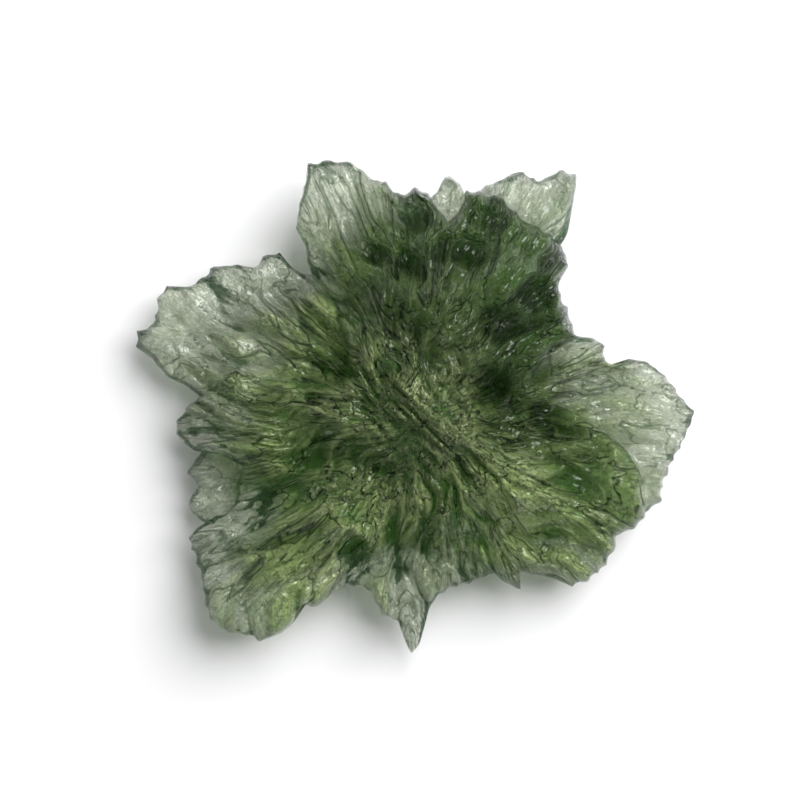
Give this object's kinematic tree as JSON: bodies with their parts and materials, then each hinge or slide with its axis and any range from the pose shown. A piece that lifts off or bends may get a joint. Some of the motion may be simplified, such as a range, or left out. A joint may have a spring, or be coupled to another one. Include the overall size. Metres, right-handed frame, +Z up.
{
  "type": "moldavite",
  "caption": "Raw moldavite: a star of deeply fluted clear green natural glass, thick and dark in the middle, with thin pale flaps round its rim, resting on a small flat.",
  "frame": {"origin": "middle of the small flat on the underside that the stone rests on, under the point where the ridges of the top meet", "axes": "+Z up from the surface it rests on, +X along the stone's longest extent, to the right in the picture, and +Y to the picture's top"},
  "size_m": [0.0352, 0.031, 0.0105],
  "materials": {
    "moldavite": "clear to deep green natural glass with a satin, finely pitted skin"
  },
  "bodies": {
    "root": {"moldavite": "moldavite"}
  },
  "joints": []
}
